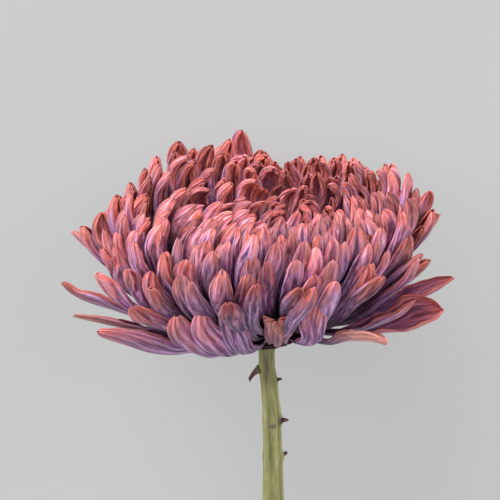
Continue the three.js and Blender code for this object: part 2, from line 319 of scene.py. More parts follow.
def makeFloor():
    half = floorLook["size"] / 2
    mesh = bpy.data.meshes.new("studioFloor")
    drop = -floorLook["drop"]
    corners = [(-half, -half, drop), (half, -half, drop), (half, half, drop), (-half, half, drop)]
    mesh.from_pydata(corners, [], [(0, 1, 2, 3)])
    floor = bpy.data.objects.new("studioFloor", mesh)
    scene.collection.objects.link(floor)
    material, tree, shader = newMaterial("paleFloor")
    coords = tree.nodes.new("ShaderNodeTexCoord").outputs["Object"]
    mottle = grain(tree, coords, 3.0, 2.0)
    colour = floorLook["colour"]
    darker = tuple(c * floorLook["darkerShare"] for c in colour)
    tint = ramp(tree, mottle, [(0.3, darker), (0.7, colour)])
    tree.links.new(tint, shader.inputs["Base Color"])
    shader.inputs["Roughness"].default_value = 0.9
    shader.inputs["Specular IOR Level"].default_value = 0.2
    shader.inputs["Emission Color"].default_value = (1, 1, 1, 1)
    shader.inputs["Emission Strength"].default_value = floorLook["glow"]
    mesh.materials.append(material)


makeFloor()

print("2 materials")

floretLook = {
    # colours along the colour map, foot to tip, outside and inside the channel
    "outside": [
        # the near-black foot is partly the florets' own deep violet and partly painted shade for the gaps
        # between florets
        (0.40, (0.045, 0.013, 0.062)), (0.60, (0.115, 0.035, 0.160)), (0.72, (0.315, 0.108, 0.380)),
        (0.81, (0.600, 0.235, 0.570)), (0.875, (0.770, 0.270, 0.460)), (0.925, (0.850, 0.240, 0.275)),
        (0.975, (0.830, 0.155, 0.105)), (1.00, (0.560, 0.065, 0.035)),
    ],
    "inside": [
        (0.50, (0.150, 0.034, 0.100)), (0.72, (0.620, 0.200, 0.390)), (0.86, (0.900, 0.320, 0.460)),
        (0.95, (0.940, 0.330, 0.320)), (1.00, (0.840, 0.170, 0.110)),
    ],
    # colour laid over it, and how much of it at the most
    "grey": ((0.330, 0.160, 0.390), 0.60),
    "lilac": ((0.720, 0.420, 0.780), 0.52),
    "russet": ((0.500, 0.095, 0.120), 0.50),
    "vein": ((0.070, 0.018, 0.100), 0.80),
    # the groove colour is painted shade between the ribs; the pale colour is partly the florets' own streaks
    # and partly painted highlight, and on the rib crests it is painted highlight
    "grooveShade": ((0.070, 0.018, 0.100), 0.58),
    "pale": ((0.900, 0.600, 0.880), 0.55),
    "ribCrestHighlight": 0.32,
    # the furrow and crease colours are painted shade in the folds of the floret
    "furrow": ((0.070, 0.018, 0.100), 0.62),
    "creaseShade": 0.78,
    "rim": ((0.880, 0.215, 0.145), 0.85),
    "innerRim": ((0.880, 0.215, 0.145), 0.80),
    "innerVein": ((0.030, 0.006, 0.020), 0.50),
    "coral": ((0.870, 0.255, 0.170), 0.42),
    "heart": ((0.500, 0.060, 0.060), 0.62),
    "paper": ((0.930, 0.400, 0.310), 0.80),
    "paperVein": ((0.620, 0.180, 0.190), 0.60),
    # markings: how fine across, how fine along, detail, roughness, distortion
    "lines": (12.0, 6.0, 5.0, 0.62, 0.12),
    "ribWander": (2.0, 7.0, 2.0, 0.5, 0.0),
    "hairs": (30.0, 16.0, 3.0, 0.6, 0.1),
    "broad": (5.0, 7.0, 2.0, 0.5, 0.2),
    "blotch": (7.0, 8.0, 4.0, 0.6, 0.2),
    "ribCount": 6.0,
    "ribSway": 2.4,
    "darkest": 0.62,
    "toneRange": 0.54,
    "speckle": (0.62, 1.18),
    "roughness": (0.45, 0.67),
}


def makeFloretMaterial():
    look = floretLook
    material, tree, shader = newMaterial("floretSkin")
    across, along = mapAxes(tree, "bladeMap")
    tint, tone, ring, inside = (attribute(tree, name) for name in ("tint", "tone", "ring", "inside"))
    seed = calc(tree, "MULTIPLY", tint, 37.0)

    def times(a, b):
        return calc(tree, "MULTIPLY", a, b)

    def scaled(value, factor, offset):
        return calc(tree, "MULTIPLY_ADD", value, factor, offset)

    def marking(name):
        # noise drawn out along the floret
        fineAcross, fineAlong, detail, roughness, distortion = look[name]
        where = vector(tree, times(across, fineAcross), times(along, fineAlong), seed)
        return grain(tree, where, 1.0, detail, roughness, distortion)

    def upTo(name, value, low, high):
        # rises to the most that this colour covers
        return spread(tree, value, low, high, 0.0, look[name][1])

    def lay(name, mask, under):
        return blendColour(tree, mask, under, opaque(look[name][0]))

    lines, hairs, broad, blotch = (marking(name) for name in ("lines", "hairs", "broad", "blotch"))
    ribTurn = scaled(across, look["ribCount"], scaled(marking("ribWander"), look["ribSway"], tint))
    ribs = calc(tree, "COSINE", times(ribTurn, 2 * math.pi))
    fromMiddle = calc(tree, "ABSOLUTE", scaled(across, 2.0, -1.0))

    # the ground colour starts earlier or later on each floret and wanders a little
    shift = scaled(tint, 0.10, scaled(ring, -0.035, -0.035))
    wander = scaled(broad, 0.16, -0.08)
    stage = calc(tree, "ADD", calc(tree, "ADD", along, shift), wander, clamp=True)
    stage = calc(tree, "MINIMUM", stage, calc(tree, "ADD", along, 0.05))
    outer = ramp(tree, stage, look["outside"])

    # dull streaks; some florets are more lilac, some more russet
    offTip = spread(tree, along, 0.97, 0.9)
    outer = lay("grey", times(upTo("grey", blotch, 0.50, 0.66), offTip), outer)
    kind = calc(tree, "FRACT", times(tint, 7.31))
    outer = lay("lilac", times(upTo("lilac", kind, 0.50, 0.85), spread(tree, along, 0.98, 0.88)), outer)
    outer = lay("russet", times(upTo("russet", kind, 0.34, 0.10), spread(tree, along, 0.62, 0.82)), outer)

    # veins, and ribs with grooves between them; the dark in the grooves is painted shade, the paler rib
    # crests are painted highlight, and the pale streaks are partly the florets' own and partly painted
    # highlight
    fade = spread(tree, along, 0.45, 0.75, 0.35, 1.0)
    tipFade = spread(tree, along, 0.90, 1.0, 1.0, 0.30)
    veins = times(times(upTo("vein", lines, 0.51, 0.61), fade), tipFade)
    outer = lay("vein", veins, outer)
    outer = lay("grooveShade", times(upTo("grooveShade", ribs, -0.45, -0.98), times(fade, tipFade)), outer)
    ribCrestHighlights = times(spread(tree, ribs, 0.35, 1.0, 0.0, look["ribCrestHighlight"]), fade)
    pale = calc(tree, "ADD", times(upTo("pale", lines, 0.45, 0.31), fade), ribCrestHighlights, clamp=True)
    outer = lay("pale", pale, outer)

    # painted shade: a dark line in each of the two furrows, and on half of the florets one in the middle
    # crease
    offFurrow = calc(tree, "ABSOLUTE", calc(tree, "ADD", fromMiddle, scaled(broad, 0.16, -0.41)))
    furrowDepth = spread(tree, along, 0.985, 0.90, 0.15, look["furrow"][1])
    furrow = times(spread(tree, offFurrow, 0.075, 0.012), furrowDepth)
    offCrease = calc(tree, "ADD", fromMiddle, scaled(broad, 0.10, -0.05))
    creaseDepth = spread(tree, along, 0.995, 0.93, 0.35, look["creaseShade"])
    creaseShade = times(spread(tree, offCrease, 0.11, 0.02), creaseDepth)
    furrow = calc(tree, "ADD", furrow, times(creaseShade, spread(tree, tint, 0.42, 0.52)), clamp=True)
    outer = lay("furrow", furrow, outer)

    # the margin is thin and coral, and so are patches near the tip
    edge = spread(tree, fromMiddle, scaled(hairs, 0.25, 0.52), 0.98, 0.0, look["rim"][1])
    outer = lay("rim", times(edge, spread(tree, along, 0.60, 0.85, 0.10, 1.0)), outer)
    outer = lay("coral", times(upTo("coral", blotch, 0.55, 0.42), spread(tree, along, 0.78, 0.95)), outer)

    inner = ramp(tree, along, look["inside"])
    innerEdge = times(upTo("innerRim", fromMiddle, 0.72, 0.97), spread(tree, along, 0.7, 0.92))
    inner = lay("innerRim", innerEdge, inner)
    inner = lay("innerVein", times(veins, look["innerVein"][1]), inner)
    # the outermost florets are nearly as violet inside as outside
    shown = times(inside, spread(tree, ring, 0.88, 1.0, 1.0, 0.40))
    skin = blendColour(tree, shown, outer, inner)

    # the heart of the bloom is redder and darker; dry ends are papery
    skin = lay("heart", upTo("heart", ring, 0.40, 0.05), skin)
    paper = lay("paperVein", times(veins, look["paperVein"][1]), opaque(look["paper"][0]))
    dry = times(attribute(tree, "blush"), upTo("paper", along, 0.60, 0.85))
    skin = blendColour(tree, dry, skin, paper)
    light = scaled(tone, look["toneRange"], look["darkest"])
    light = times(light, spread(tree, hairs, 0.36, 0.60, *look["speckle"]))
    skin = blendColour(tree, 1.0, skin, vector(tree, light, light, light), "MULTIPLY")
    tree.links.new(skin, shader.inputs["Base Color"])
    tree.links.new(spread(tree, lines, 0.3, 0.8, *look["roughness"]), shader.inputs["Roughness"])
    shader.inputs["Specular IOR Level"].default_value = 0.35
    shader.inputs["Sheen Weight"].default_value = 0.15
    shader.inputs["Sheen Roughness"].default_value = 0.45
    shader.inputs["Sheen Tint"].default_value = (1.0, 0.78, 0.85, 1)
    shader.inputs["Subsurface Weight"].default_value = 0.10
    shader.inputs["Subsurface Radius"].default_value = (1.0, 0.35, 0.4)
    shader.inputs["Subsurface Scale"].default_value = 0.0010
    height = scaled(hairs, 0.35, scaled(ribs, 0.42, lines))
    relief(tree, shader, scaled(broad, 0.9, height), 0.75, 0.0009)
    return material


stemLook = {
    "green": [
        (0.0, (0.10, 0.105, 0.035)), (0.35, (0.23, 0.225, 0.078)), (0.65, (0.345, 0.332, 0.132)),
        (1.0, (0.53, 0.505, 0.25)),
    ],
    "purple": (0.10, 0.035, 0.07),
    "brown": (0.20, 0.12, 0.06),
    "brownShare": 0.55,
    "pith": [(0.3, (0.45, 0.46, 0.28)), (0.7, (0.62, 0.62, 0.46))],
    "roughness": (0.4, 0.65),
    # how fine each marking is around and along the stem
    "fibre": (7.0, 9.0),
    "cloud": (1.0, 16.0),
    "speck": (5.0, 60.0),
    "cutRings": (3.0, 0.0),
}


def makeStemMaterial():
    look = stemLook
    material, tree, shader = newMaterial("stemRind")
    around, along = mapAxes(tree, "stemMap")
    turn = calc(tree, "MULTIPLY", around, 2 * math.pi)
    ringX, ringY = calc(tree, "COSINE", turn), calc(tree, "SINE", turn)

    def onStem(name):
        # a place on the rind, without a seam
        fineAround, fineAlong = look[name]
        x = calc(tree, "MULTIPLY", ringX, fineAround)
        y = calc(tree, "MULTIPLY", ringY, fineAround)
        return vector(tree, x, y, calc(tree, "MULTIPLY", along, fineAlong))

    fibre = grain(tree, onStem("fibre"), 1.0, 5.0, 0.65, 0.2)
    cloud = grain(tree, onStem("cloud"), 1.0, 3.0, 0.6, 0.6)
    shade = calc(tree, "MULTIPLY_ADD", attribute(tree, "rib"), 0.40, -0.84)
    shade = calc(tree, "MULTIPLY_ADD", fibre, 1.5, calc(tree, "MULTIPLY_ADD", cloud, 0.9, shade))
    # the top of the stem, under the bloom, is darker: painted shade
    shade = calc(tree, "ADD", shade, spread(tree, along, 0.86, 0.95, 0.0, -0.20), clamp=True)
    rind = ramp(tree, shade, look["green"])
    speck = grain(tree, onStem("speck"), 1.6, 2.0, 0.5)
    brown = spread(tree, speck, 0.66, 0.78, 0.0, look["brownShare"])
    rind = blendColour(tree, brown, rind, opaque(look["brown"]))
    # purple: the rind's own scars and streak, and painted shade on the receptacle
    rind = blendColour(tree, attribute(tree, "stain"), rind, opaque(look["purple"]))
    pith = ramp(tree, grain(tree, onStem("cutRings"), 2.0), look["pith"])
    rind = blendColour(tree, attribute(tree, "cut"), rind, pith)
    tree.links.new(rind, shader.inputs["Base Color"])
    tree.links.new(spread(tree, fibre, 0.3, 0.7, *look["roughness"]), shader.inputs["Roughness"])
    shader.inputs["Specular IOR Level"].default_value = 0.4
    shader.inputs["Subsurface Weight"].default_value = 0.06
    shader.inputs["Subsurface Radius"].default_value = (0.5, 0.8, 0.2)
    shader.inputs["Subsurface Scale"].default_value = 0.001
    relief(tree, shader, fibre, 0.5, 0.0004)
    return material


stubLook = {
    "bark": [(0.3, (0.026, 0.008, 0.026)), (0.55, (0.085, 0.035, 0.050)), (0.8, (0.28, 0.19, 0.12))],
    "root": (0.28, 0.27, 0.11),
    "rootShare": 0.5,
    "grainPerMetre": 900.0,
}


def makeStubMaterial():
    look = stubLook
    material, tree, shader = newMaterial("driedStub")
    coords = tree.nodes.new("ShaderNodeTexCoord").outputs["Object"]
    rough = grain(tree, coords, look["grainPerMetre"], 4.0, 0.65)
    bark = ramp(tree, rough, look["bark"])
    atRoot = calc(tree, "MULTIPLY", attribute(tree, "rootward"), look["rootShare"])
    bark = blendColour(tree, atRoot, bark, opaque(look["root"]))
    tree.links.new(bark, shader.inputs["Base Color"])
    shader.inputs["Roughness"].default_value = 0.8
    shader.inputs["Specular IOR Level"].default_value = 0.25
    relief(tree, shader, rough, 0.7, 0.0005)
    return material


bractLook = {
    # the bracts are coloured nearly black: painted shade for the hollow under the bloom where they sit
    "leaf": [(0.3, (0.030, 0.015, 0.036)), (0.6, (0.070, 0.042, 0.062)), (0.8, (0.13, 0.10, 0.085))],
    "margin": (0.20, 0.10, 0.13),
    "marginShare": 0.8,
    "linesAcross": 9.0,
}


def makeBractMaterial():
    look = bractLook
    material, tree, shader = newMaterial("bractLeaf")
    across, along = mapAxes(tree, "bladeMap")
    where = vector(tree, calc(tree, "MULTIPLY", across, look["linesAcross"]), along, attribute(tree, "tint"))
    lines = grain(tree, where, 1.0, 4.0, 0.6)
    fromMiddle = calc(tree, "ABSOLUTE", calc(tree, "MULTIPLY_ADD", across, 2.0, -1.0))
    margin = spread(tree, fromMiddle, 0.62, 0.95, 0.0, look["marginShare"])
    leaf = blendColour(tree, margin, ramp(tree, lines, look["leaf"]), opaque(look["margin"]))
    tree.links.new(leaf, shader.inputs["Base Color"])
    shader.inputs["Roughness"].default_value = 0.62
    shader.inputs["Specular IOR Level"].default_value = 0.3
    relief(tree, shader, lines, 0.5, 0.0003)
    return material


floretSkin = makeFloretMaterial()
stemRind = makeStemMaterial()
driedStub = makeStubMaterial()
bractLeaf = makeBractMaterial()

print("3 the curves that the florets follow")

spiral = {
    "goldenAngle": 137.50776,
    "count": 315,
    "rows": 21,
    "perShape": 5,         # neighbouring florets that share one shape
    "footStart": -0.02,    # the feet are sunk in the receptacle
}
# the dome that the florets grow from
receptacle = {"radius": 9.5, "height": 5.5, "low": 6.5, "spread": 78.0, "gap": 0.4}
# rho is 0 in the middle and 1 at the last row; then where the tip is, the directions in which the
# floret leaves its foot and arrives at its tip, in degrees from upright, and how strongly
curveKeys = ("rho", "tipR", "tipZ", "leave", "arrive", "pull", "push")
floretCurves = np.array([
    (0.00, 0.0, 47.0, 0, 0, 0.38, 0.30),
    (0.20, 8.6, 48.0, 14, -16, 0.38, 0.32),
    (0.40, 20.0, 51.0, 32, -26, 0.40, 0.36),
    (0.60, 33.5, 54.0, 52, -22, 0.42, 0.40),
    (0.75, 43.5, 53.5, 65, -6, 0.42, 0.40),
    (0.88, 51.5, 48.5, 76, 16, 0.42, 0.38),
    (1.00, 57.5, 38.5, 86, 42, 0.42, 0.36),
    (1.12, 60.5, 25.5, 97, 64, 0.40, 0.34),
    (1.24, 61.0, 13.5, 107, 84, 0.38, 0.32),
    (1.36, 57.0, 3.0, 117, 104, 0.36, 0.30),
])


def alongCurves(key, rho):
    column = curveKeys.index(key)
    places, values = floretCurves[:, 0], floretCurves[:, column]
    last = len(places) - 1
    i = np.clip(np.searchsorted(places, rho, side="right") - 1, 0, last - 1)

    def slope(k):
        before, after = np.maximum(k - 1, 0), np.minimum(k + 1, last)
        return (values[after] - values[before]) / (places[after] - places[before])

    span = places[i + 1] - places[i]
    t = (rho - places[i]) / span
    return ((2 * t**3 - 3 * t**2 + 1) * values[i] + (t**3 - 2 * t**2 + t) * span * slope(i)
            + (3 * t**2 - 2 * t**3) * values[i + 1] + (t**3 - t**2) * span * slope(i + 1))


def footOfCurve(rho):
    angle = radians(rho * receptacle["spread"])
    radius = receptacle["radius"] * np.sin(angle) / math.sin(radians(receptacle["spread"]))
    return radius, receptacle["low"] + receptacle["height"] * np.cos(angle)


def alongFloret(rho, s):
    # radius and height on the curve of rho, s of the way from foot to tip
    footR, footZ = footOfCurve(rho)
    tipR, tipZ = alongCurves("tipR", rho), alongCurves("tipZ", rho)
    length = np.hypot(tipR - footR, tipZ - footZ)
    leave, arrive = radians(alongCurves("leave", rho)), radians(alongCurves("arrive", rho))
    pull, push = length * alongCurves("pull", rho), length * alongCurves("push", rho)
    q = 1 - s
    weights = (q**3, 3 * q**2 * s, 3 * q * s**2, s**3)
    radii = (footR, footR + pull * np.sin(leave), tipR - push * np.sin(arrive), tipR)
    heights = (footZ, footZ + pull * np.cos(leave), tipZ - push * np.cos(arrive), tipZ)
    return sum(w * r for w, r in zip(weights, radii)), sum(w * h for w, h in zip(weights, heights))


print("4 florets")


def meshFromGrid(name, outer, inner, across, along, extra):
    # a thin closed blade: an outer and an inner skin, joined all round their rim
    rows, columns = outer.shape[:2]
    count = rows * columns
    index = np.arange(count).reshape(rows, columns)
    a, b, c, d = index[:-1, :-1], index[:-1, 1:], index[1:, 1:], index[1:, :-1]
    faces = [np.stack([a, b, c, d], -1).reshape(-1, 4)]
    faces.append(np.stack([a, d, c, b], -1).reshape(-1, 4) + count)
    border = np.concatenate([index[0, :], index[1:, -1], index[-1, -2::-1], index[-2:0:-1, 0]])
    following = np.roll(border, -1)
    faces.append(np.stack([following, border, border + count, following + count], -1))
    faces = np.concatenate(faces)
    points = np.concatenate([outer.reshape(-1, 3), inner.reshape(-1, 3)])
    mesh = bpy.data.meshes.new(name)
    mesh.from_pydata(points.tolist(), [], faces.tolist())
    uvs = np.stack(np.broadcast_arrays(across, along), -1).reshape(-1, 2)
    uvs = np.concatenate([uvs, uvs])
    layer = mesh.uv_layers.new(name="bladeMap")
    layer.data.foreach_set("uv", uvs[faces.reshape(-1)].astype(np.float32).reshape(-1))
    side = np.concatenate([np.zeros(count), np.ones(count)])
    mesh.attributes.new("inside", "FLOAT", "POINT").data.foreach_set("value", side.astype(np.float32))
    for key, value in extra.items():
        values = np.full(2 * count, value, np.float32)
        mesh.attributes.new(key, "FLOAT", "POINT").data.foreach_set("value", values)
    mesh.shade_smooth()
    mesh.update()
    return mesh


def gridNormals(points):
    du = np.gradient(points, axis=1)
    dv = np.gradient(points, axis=0)
    n = np.cross(du, dv)
    return n / np.maximum(np.linalg.norm(n, axis=-1, keepdims=True), 1e-9)


def smoothStep(value, low, high):
    t = np.clip((value - low) / (high - low), 0, 1)
    return t * t * (3 - 2 * t)


# every floret starts from these; its own values replace them
bladeShape = {
    "acrossFaces": 12,
    "alongFaces": 24,
    "tipCrowding": 1.5,    # rows stand closer together near the tip
    "thickness": 0.34,
    "rimThickness": 0.12,
    "footWidth": 0.22,     # beside the widest place
    "footPower": 0.8,      # the foot is deeper than it is wide
    "tipWidth": 0.13,
    "tipDepth": 0.25,
    "blunt": 2.4,
    "tipRounding": 0.62,
    "waist": 1.5,
    "rollAtTip": 0.12,     # how much further the rims roll in at the tip
    "rollAtFoot": 15.0,    # and at the foot, in degrees
    "mostRoll": 168.0,
    "furrowPlace": 1 / 3,  # on both sides of the middle ridge
    "furrowWidth": 0.13,
    "furrowUneven": (0.6, 1.3),
    "ruffle": 0.25,
    "nib": 0.6,
    "teeth": 0.0,
    "teethCount": 3.5,
    "droop": 0.0,
    "belly": 0.0,
    "bellyShare": 0.75,
    "lean": 0.0,
    "waver": 0.0,          # side to side on the way to the tip
    "twist": 0.0,
    "endTwist": 0.0,
    "mapLength": 18.0,     # length of the colour map beside the half width
}

# slow waves along a floret: turns in radians for each mm, and height
floretWaves = {
    "ruffle": ((0.55, 0.6), (1.1, 0.4)),
    "rock": (0.35, 0.10),
    "pinch": (0.40, 0.05),
    "sway": (0.30, 0.06),
}


def floretLine(shape, t):
    # the middle line from foot to tip; the tip curls in over the heart of the flower
    start = spiral["footStart"]
    rho = shape["rho"] + shape["droop"] * t ** 2
    r, z = alongFloret(rho, start + (shape["reach"] - start) * t)
    dr, dz = np.diff(r), np.diff(z)
    ds = np.hypot(dr, dz)
    total = ds.sum()
    fromTip = total - np.concatenate([[0], np.cumsum(ds)])
    middle = (fromTip[1:] + fromTip[:-1]) / 2
    curl = radians(shape["curl"]) * smoothStep(1 - middle / shape["curlLength"], 0, 1)
    bow = np.sin(2 * math.pi * smoothStep(middle / total, 0.0, shape["bellyShare"]))
    heading = np.unwrap(np.arctan2(dz, dr)) + curl - radians(shape["belly"]) * bow
    lineR = r[0] + np.concatenate([[0], np.cumsum(ds * np.cos(heading))])
    lineZ = z[0] + np.concatenate([[0], np.cumsum(ds * np.sin(heading))])
    sway = shape["lean"] * t ** 2 + shape["waver"] * np.sin(2.2 * math.pi * t) * t
    line = np.stack([lineR, sway, lineZ], -1)
    return line, fromTip, np.interp(fromTip, middle[::-1], heading[::-1]), total


def floretFrame(shape, t, heading):
    # at each row: the way to the tip, the way the keel faces, and the way to the side
    flat = np.zeros_like(heading)
    tangent = np.concatenate([np.cos(heading), flat, np.sin(heading)], 1)
    keelWay = np.concatenate([np.sin(heading), flat, -np.cos(heading)], 1)
    sideWay = np.broadcast_to(np.array([0.0, 1.0, 0.0]), keelWay.shape)
    twist = radians(shape["twist"]) * t ** 1.5
    twist = twist + radians(shape["endTwist"]) * smoothStep(t, 0.75, 1.0)
    keel = keelWay * np.cos(twist) + sideWay * np.sin(twist)
    side = sideWay * np.cos(twist) - keelWay * np.sin(twist)
    return tangent, keel, side


def floretBlade(name, own, extra):
    # one floret in the upright flower's frame, at azimuth 0, in mm
    shape = {**bladeShape, **own}
    rng = np.random.default_rng(shape["seed"])
    columns, rows, half = shape["acrossFaces"], shape["alongFaces"], shape["halfWidth"]
    a = np.linspace(-1, 1, columns + 1)[None, :]
    t = 1 - (1 - np.linspace(0, 1, rows + 1)) ** shape["tipCrowding"]
    line, fromTip, heading, total = floretLine(shape, t)
    fromTip, t = fromTip[:, None], t[:, None]
    tangent, keel, side = floretFrame(shape, t, heading[:, None])

    # outline: narrow foot, widest near the tip, then closing to a blunt point
    widest = shape["widestAt"]
    tipward = np.clip(1 - fromTip / widest, 0, 1)
    footward = np.clip((fromTip - widest) / (total - widest), 0, 1)
    fall = np.maximum(1 - tipward ** shape["blunt"], 0) ** shape["tipRounding"]
    rise = shape["footWidth"] + (1 - shape["footWidth"]) * (1 - footward) ** shape["waist"]
    width = half * rise * (shape["tipWidth"] + (1 - shape["tipWidth"]) * fall)
    depth = shape["tipDepth"] + (1 - shape["tipDepth"]) * fall
    depth = shape["depth"] * half * rise ** shape["footPower"] * depth

    # section: a channel whose rims roll in, with a furrow on each side of the middle
    wrap = radians(shape["wrap"]) * (1 + shape["rollAtTip"] * tipward)
    wrap = np.minimum(wrap + radians(shape["rollAtFoot"]) * footward, radians(shape["mostRoll"]))
    b = width * np.sin(a * wrap) / np.sin(np.minimum(wrap, math.pi / 2))
    n = depth * (np.cos(a * wrap) - np.cos(wrap)) / (1 - np.cos(wrap))
    envelope = (0.2 + 0.8 * fall) * (0.25 + 0.75 * rise)
    for sign in (-1, 1):
        dip = np.exp(-((a * sign - shape["furrowPlace"]) / shape["furrowWidth"]) ** 2)
        n = n - shape["furrow"] * rng.uniform(*shape["furrowUneven"]) * dip * envelope

    # crumpled rims, and slow waves over the whole blade
    phase = rng.uniform(0, 2 * math.pi, 6)

    def wave(kind, number):
        turn, height = kind
        return height * np.sin(turn * fromTip + phase[number])

    ruffle = wave(floretWaves["ruffle"][0], 0) + wave(floretWaves["ruffle"][1], 1)
    n = n + shape["ruffle"] * ruffle * np.abs(a) ** 2.5 * np.sign(a + 1e-9) * envelope
    n = n + half * wave(floretWaves["rock"], 4) * a * envelope - depth * 0.5
    b = b * (1 + wave(floretWaves["pinch"], 2)) + half * wave(floretWaves["sway"], 5)
    points = line[:, None, :] + side[:, None, :] * b[..., None] + keel[:, None, :] * n[..., None]
    nib = shape["nib"] * np.exp(-(a / 0.35) ** 2) * smoothStep(tipward, 0.55, 1.0)
    teeth = np.cos(shape["teethCount"] * math.pi * a + phase[3]) * smoothStep(tipward, 0.7, 1.0)
    points = points + tangent[:, None, :] * (nib + shape["teeth"] * teeth)[..., None]

    normals = gridNormals(points)
    if (normals[: rows // 2, columns // 2] * keel[: rows // 2]).sum() < 0:
        normals = -normals[:, ::-1]
        points = points[:, ::-1]
    thin = shape["rimThickness"]
    thick = thin + (shape["thickness"] - thin) * (1 - np.abs(a) ** 2) * (0.3 + 0.7 * fall)
    inner = points - normals * thick[..., None]
    return meshFromGrid(name, points, inner, (a + 1) / 2, 1 - fromTip / (shape["mapLength"] * half), extra)


# half width of the florets, from the middle of the bloom (0) to its last row (1)
halfWidths = ((0.0, 1.9), (0.12, 2.4), (0.25, 2.8), (0.45, 3.15), (0.65, 3.35), (0.85, 3.5), (1.0, 3.8))


def spiralShape(k):
    # the look of the k-th group of florets, counted from the middle of the bloom
    rng = np.random.default_rng(seeds["spiralShape"] + k)
    n = k * spiral["perShape"] + (spiral["perShape"] - 1) / 2
    rho = math.sqrt((n + 0.5) / spiral["count"])
    half = np.interp(rho, *np.transpose(halfWidths)) * rng.uniform(0.86, 1.14)
    rolled = rng.uniform(0, 1)
    return {
        "seed": seeds["spiralBlade"] + k,
        "rho": min(rho + rng.normal(0, 0.010), 1.01),
        "reach": rng.uniform(0.93, 1.0),
        "halfWidth": half,
        "widestAt": half * rng.uniform(2.3, 3.5),
        "blunt": rng.uniform(2.4, 4.0),
        "waist": rng.uniform(1.3, 2.2),
        "depth": rng.uniform(0.75, 1.15) + 0.2 * (1 - rho),
        "wrap": 136 + 28 * rolled,
        "furrow": half * rng.uniform(0.14, 0.28),
        "furrowPlace": rng.choice([0.04, 0.33, 0.42]),
        "ruffle": rng.uniform(0.1, 0.45),
        "curl": rng.uniform(4, 44) + 10 * (1 - rho) + 50 * max(0, 1 - rho / 0.40),
        "curlLength": half * rng.uniform(1.6, 3.0),
        "belly": rng.uniform(-4, 8),
        "twist": rng.normal(0, 17),
        "endTwist": rng.normal(0, 16),
        "lean": rng.normal(0, 2.2) * (0.35 + rho),
        "waver": rng.normal(0, 0.7),
        "nib": rng.uniform(0.1, 0.9),
    }


def makeSpiralShapes():
    store = bpy.data.collections.new("floretShapes")
    scene.collection.children.link(store)
    for k in range(math.ceil(spiral["count"] / spiral["perShape"])):
        mesh = floretBlade(f"floretShape{k:03d}", spiralShape(k), {})
        store.objects.link(bpy.data.objects.new(f"floretShape{k:03d}", mesh))
    return store


# how far each floret is from the even spiral: degrees, degrees, share of its size
spiralJitter = {"azimuth": 2.4, "lean": 2.2, "size": 0.035}


def makeSpiralTree():
    # n-th floret = first + step * index; turned by n golden angles; shape picked by n
    tree = bpy.data.node_groups.new("floretSpiral", "GeometryNodeTree")
    panel = tree.interface
    inputs = [("First", "NodeSocketInt", 0), ("Step", "NodeSocketInt", 1), ("Count", "NodeSocketInt", 1),
              ("Turn", "NodeSocketFloat", radians(spiral["goldenAngle"])), ("Per shape", "NodeSocketInt", 1),
              ("Azimuth jitter", "NodeSocketFloat", 0.0), ("Lean jitter", "NodeSocketFloat", 0.0),
              ("Size jitter", "NodeSocketFloat", 0.0), ("Seed", "NodeSocketInt", 0),
              ("Shapes", "NodeSocketCollection", None), ("Skin", "NodeSocketMaterial", None)]
    for name, kind, value in inputs:
        socket = panel.new_socket(name, in_out="INPUT", socket_type=kind)
        if value is not None:
            socket.default_value = value
    panel.new_socket("Geometry", in_out="OUTPUT", socket_type="NodeSocketGeometry")
    nodes, link = tree.nodes, tree.links.new
    given = nodes.new("NodeGroupInput").outputs

    def maths(operation, a, b=None, c=None):
        node = nodes.new("ShaderNodeMath")
        node.operation = operation
        for socket, value in zip(node.inputs, (a, b, c)):
            if isinstance(value, bpy.types.NodeSocket):
                link(value, socket)
            elif value is not None:
                socket.default_value = value
        return node.outputs[0]

    def chance(spreadBy, offset, low=None):
        # an even random number for each floret, kept whichever row it is made in
        node = nodes.new("FunctionNodeRandomValue")
        node.data_type = "FLOAT"
        if low is None:
            link(maths("MULTIPLY", spreadBy, -1.0), node.inputs[2])
            link(spreadBy, node.inputs[3])
        else:
            node.inputs[2].default_value, node.inputs[3].default_value = low, spreadBy
        link(number, node.inputs["ID"])
        link(maths("ADD", given["Seed"], offset), node.inputs["Seed"])
        return node.outputs[1]

    index = nodes.new("GeometryNodeInputIndex").outputs[0]
    number = maths("MULTIPLY_ADD", index, given["Step"], given["First"])
    dots = nodes.new("GeometryNodePoints")
    link(given["Count"], dots.inputs["Count"])
    store = nodes.new("GeometryNodeCollectionInfo")
    store.inputs["Separate Children"].default_value = True
    store.inputs["Reset Children"].default_value = True
    link(given["Shapes"], store.inputs["Collection"])
    azimuth = maths("MULTIPLY_ADD", number, given["Turn"], chance(given["Azimuth jitter"], 1))
    turn = nodes.new("ShaderNodeCombineXYZ")
    link(chance(given["Lean jitter"], 2), turn.inputs[0])
    link(chance(given["Lean jitter"], 3), turn.inputs[1])
    link(azimuth, turn.inputs[2])
    size = maths("ADD", chance(given["Size jitter"], 4), 1.0)
    place = nodes.new("GeometryNodeInstanceOnPoints")
    place.inputs["Pick Instance"].default_value = True
    link(dots.outputs[0], place.inputs["Points"])
    link(store.outputs[0], place.inputs["Instance"])
    link(maths("FLOOR", maths("DIVIDE", number, given["Per shape"])), place.inputs["Instance Index"])
    link(turn.outputs[0], place.inputs["Rotation"])
    link(size, place.inputs["Scale"])
    geometry = place.outputs[0]
    ring = maths("SQRT", maths("DIVIDE", number, float(spiral["count"])))
    for name, value in (("tint", chance(1.0, 5, 0.0)), ("tone", chance(1.0, 6, 0.0)), ("ring", ring)):
        keep = nodes.new("GeometryNodeStoreNamedAttribute")
        keep.data_type, keep.domain = "FLOAT", "INSTANCE"
        keep.inputs["Name"].default_value = name
        link(geometry, keep.inputs["Geometry"])
        link(value, keep.inputs["Value"])
        geometry = keep.outputs[0]
    real = nodes.new("GeometryNodeRealizeInstances")
    skin = nodes.new("GeometryNodeSetMaterial")
    link(geometry, real.inputs[0])
    link(real.outputs[0], skin.inputs["Geometry"])
    link(given["Skin"], skin.inputs["Material"])
    link(skin.outputs[0], nodes.new("NodeGroupOutput").inputs[0])
    return tree


